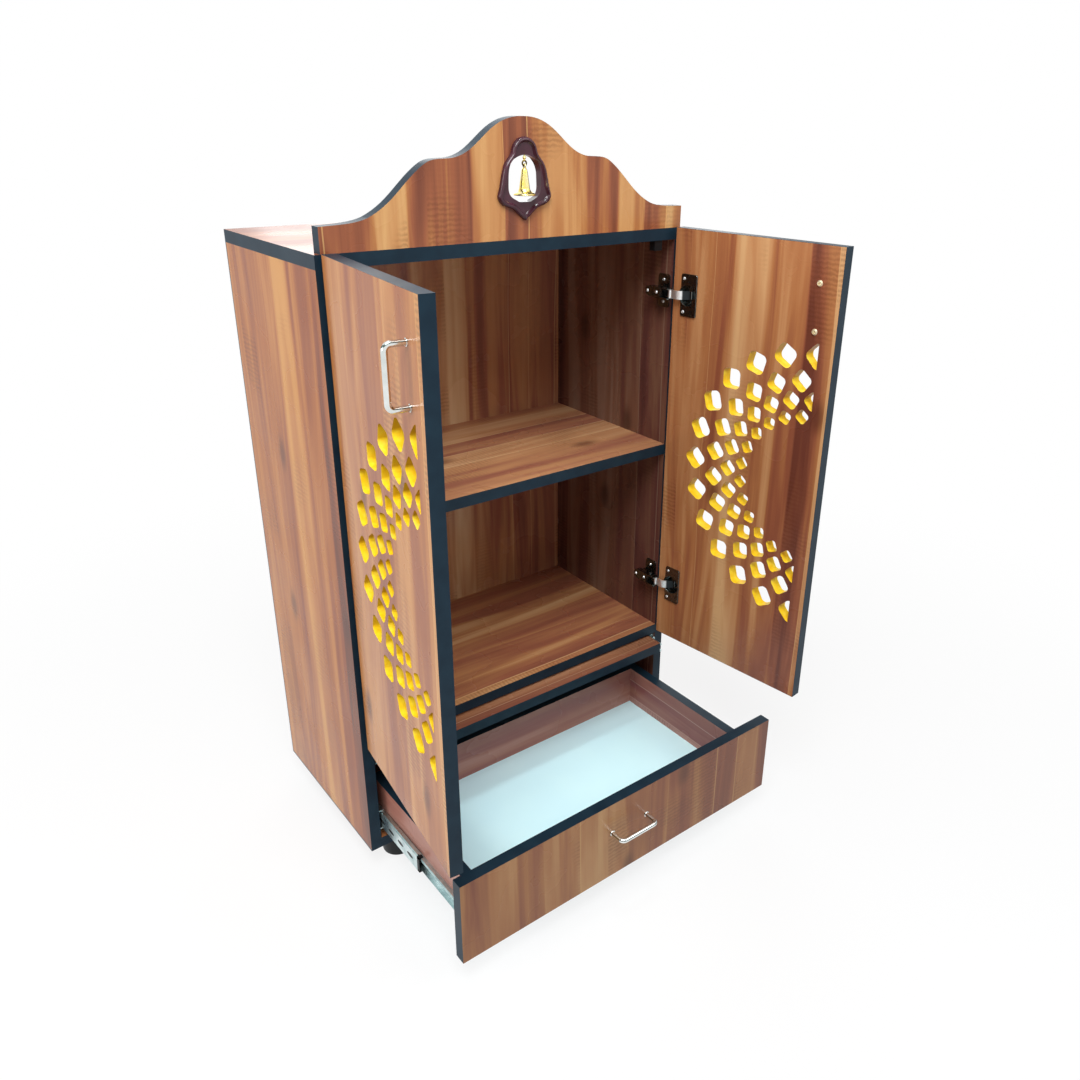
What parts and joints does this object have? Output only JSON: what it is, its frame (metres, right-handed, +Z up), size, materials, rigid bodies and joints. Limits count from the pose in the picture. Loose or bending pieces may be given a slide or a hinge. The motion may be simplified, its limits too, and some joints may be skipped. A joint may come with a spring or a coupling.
{
  "type": "pooja mandir cabinet",
  "caption": "Free-standing home shrine cabinet with two pierced doors, an arched crown with a hanging bell, shelves, a pull-out tray and a drawer on slides.",
  "frame": {"origin": "on the floor, under the middle of the overall footprint in the pictured pose (doors open, drawer and tray pulled out)", "axes": "+Z up, -Y towards the front (doors and drawer), +X to the viewer's right"},
  "size_m": [0.7128, 0.6206, 1.1185],
  "materials": {
    "wood_laminate": "satin laminate with vertical stave pattern",
    "white_board": "smooth",
    "black_plastic": "moulded",
    "chrome_wire": "polished",
    "nickel_steel": "nickel plated",
    "zinc_steel": "zinc plated",
    "brown_moulding": "glossy moulded",
    "bell_brass": "polished"
  },
  "bodies": {
    "cabinet": {"left_side_panel": "wood_laminate", "right_side_panel": "wood_laminate", "top_panel": "wood_laminate", "back_panel": "wood_laminate", "middle_shelf": "wood_laminate", "bottom_shelf": "wood_laminate", "base_panel": "wood_laminate", "crown_board": "wood_laminate", "bell_frame": "brown_moulding", "bell_hook": "bell_brass", "foot_front_left": "black_plastic", "foot_front_right": "black_plastic", "foot_back_left": "black_plastic", "foot_back_right": "black_plastic", "hinge_arm_upper_left": "nickel_steel", "hinge_arm_upper_right": "nickel_steel", "hinge_arm_lower_left": "nickel_steel", "hinge_arm_lower_right": "nickel_steel", "corner_catch": "black_plastic", "drawer_slide_rail_left": "zinc_steel", "drawer_slide_rail_right": "zinc_steel", "tray_slide_rail_left": "zinc_steel", "tray_slide_rail_right": "zinc_steel"},
    "left_hinge_links": {"hinge_link_upper_left": "nickel_steel", "hinge_link_lower_left": "nickel_steel"},
    "right_hinge_links": {"hinge_link_upper_right": "nickel_steel", "hinge_link_lower_right": "nickel_steel"},
    "left_door": {"left_door": "wood_laminate", "left_door_handle": "chrome_wire", "hinge_cup_upper_left": "nickel_steel", "hinge_cup_lower_left": "nickel_steel"},
    "right_door": {"right_door": "wood_laminate", "right_door_handle": "chrome_wire", "hinge_cup_upper_right": "nickel_steel", "hinge_cup_lower_right": "nickel_steel"},
    "drawer": {"drawer_front": "wood_laminate", "drawer_side_left": "wood_laminate", "drawer_side_right": "wood_laminate", "drawer_back": "wood_laminate", "drawer_bottom": "white_board", "drawer_handle": "chrome_wire", "drawer_slide_runner_left": "zinc_steel", "drawer_slide_runner_right": "zinc_steel"},
    "drawer_slide_middles": {"drawer_slide_middle_left": "zinc_steel", "drawer_slide_middle_right": "zinc_steel"},
    "tray": {"tray_board": "wood_laminate", "tray_slide_runner_left": "zinc_steel", "tray_slide_runner_right": "zinc_steel"},
    "tray_slide_middles": {"tray_slide_middle_left": "zinc_steel", "tray_slide_middle_right": "zinc_steel"},
    "bell": {"bell": "bell_brass"}
  },
  "joints": [
    {"name": "left_door_hinge", "type": "hinge", "parent": "cabinet", "child": "left_door", "pos_m": [-0.2923, -0.02119, 0.604], "axis": [0, 0, -1], "range_deg": [-96.5, 13.5]},
    {"name": "right_door_hinge", "type": "hinge", "parent": "cabinet", "child": "right_door", "pos_m": [0.2923, -0.02119, 0.604], "axis": [0, 0, 1], "range_deg": [-96.5, 13.5]},
    {"name": "left_hinge_link_turn", "type": "hinge", "parent": "cabinet", "child": "left_hinge_links", "pos_m": [-0.273, -0.01569, 0.604], "axis": [0, 0, -1], "range_deg": [-130.28, 18.23]},
    {"name": "right_hinge_link_turn", "type": "hinge", "parent": "cabinet", "child": "right_hinge_links", "pos_m": [0.273, -0.01569, 0.604], "axis": [0, 0, 1], "range_deg": [-130.28, 18.23]},
    {"name": "drawer_slide", "type": "slide", "parent": "cabinet", "child": "drawer", "axis": [0, -1, 0], "range_m": [-0.249, 0.045]},
    {"name": "drawer_slide_middle", "type": "slide", "parent": "cabinet", "child": "drawer_slide_middles", "axis": [0, -1, 0], "range_m": [-0.1245, 0.0225]},
    {"name": "tray_slide", "type": "slide", "parent": "cabinet", "child": "tray", "axis": [0, -1, 0], "range_m": [-0.03, 0.235]},
    {"name": "tray_slide_middle", "type": "slide", "parent": "cabinet", "child": "tray_slide_middles", "axis": [0, -1, 0], "range_m": [-0.015, 0.1175]},
    {"name": "bell_swing", "type": "hinge", "parent": "cabinet", "child": "bell", "pos_m": [0, -0.00769, 1.05724], "axis": [1, 0, 0], "range_deg": [-20, 20]}
  ],
  "couplings": [
    {"joint": "left_hinge_link_turn", "follows": "left_door_hinge", "ratio": 1.35},
    {"joint": "right_hinge_link_turn", "follows": "right_door_hinge", "ratio": 1.35},
    {"joint": "drawer_slide_middle", "follows": "drawer_slide", "ratio": 0.5},
    {"joint": "tray_slide_middle", "follows": "tray_slide", "ratio": 0.5}
  ]
}
